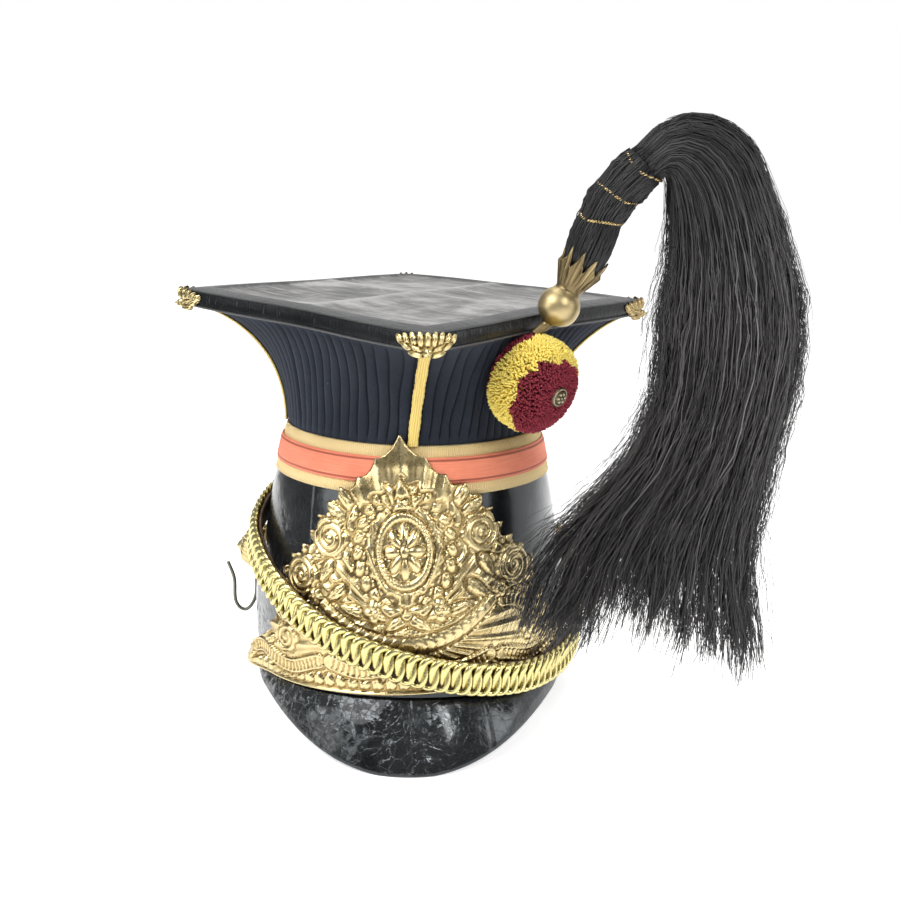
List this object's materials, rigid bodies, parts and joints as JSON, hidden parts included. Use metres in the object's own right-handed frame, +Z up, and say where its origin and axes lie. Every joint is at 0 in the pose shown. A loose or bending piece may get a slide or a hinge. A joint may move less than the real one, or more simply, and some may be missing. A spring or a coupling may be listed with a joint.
{
  "type": "lancer cap",
  "caption": "Square-topped lancer cap with a leather skull and peak, fluted cloth crown, rayed brass plate, chin chain, wool rosette and a falling horsehair plume.",
  "frame": {"origin": "on the ground under the middle of the skull, where the head goes in", "axes": "+Z up out of the square top, -Y towards the peak and plate, +X towards the plume"},
  "size_m": [0.3085, 0.2518, 0.3101],
  "materials": {
    "patent_leather": "glossy black patent leather, crazed",
    "worn_leather": "black japanned leather, worn grey on top",
    "navy_cloth": "navy-black wool cloth, fluted",
    "yellow_lace": "pale yellow woven lace",
    "red_ribbon": "faded red woven ribbon",
    "plate_brass": "die-stamped brass, worn gilding",
    "cast_brass": "cast brass, dull",
    "hook_steel": "dark steel wire",
    "strap_leather": "brown leather",
    "chain_brass": "bright yellow brass",
    "crimson_wool": "crimson wool pile",
    "yellow_wool": "yellow wool pile",
    "socket_brass": "aged brass",
    "horsehair": "black horsehair",
    "ornament_gilt": "worn gilt brass",
    "gilt_wire": "gilt wire"
  },
  "bodies": {
    "root": {"skull": "patent_leather", "peak": "patent_leather", "crown_cloth": "navy_cloth", "top_board": "worn_leather", "waist_lace": "yellow_lace", "waist_ribbon": "red_ribbon", "corner_lace_front": "yellow_lace", "corner_lace_right": "yellow_lace", "corner_lace_back": "yellow_lace", "corner_lace_left": "yellow_lace", "corner_ornament_front": "ornament_gilt", "corner_ornament_right": "ornament_gilt", "corner_ornament_back": "ornament_gilt", "corner_ornament_left": "ornament_gilt", "plate": "plate_brass", "boss_left": "cast_brass", "boss_right": "cast_brass", "hook": "hook_steel", "chin_strap": "strap_leather", "chin_chain": "chain_brass", "rosette_back": "crimson_wool", "rosette_ring": "yellow_wool", "rosette_face": "crimson_wool", "rosette_button": "cast_brass", "plume_socket": "socket_brass", "plume_stalk": "horsehair", "plume_ring_1": "gilt_wire", "plume_ring_2": "gilt_wire", "plume_ring_3": "gilt_wire", "plume_fall": "horsehair"}
  },
  "joints": []
}
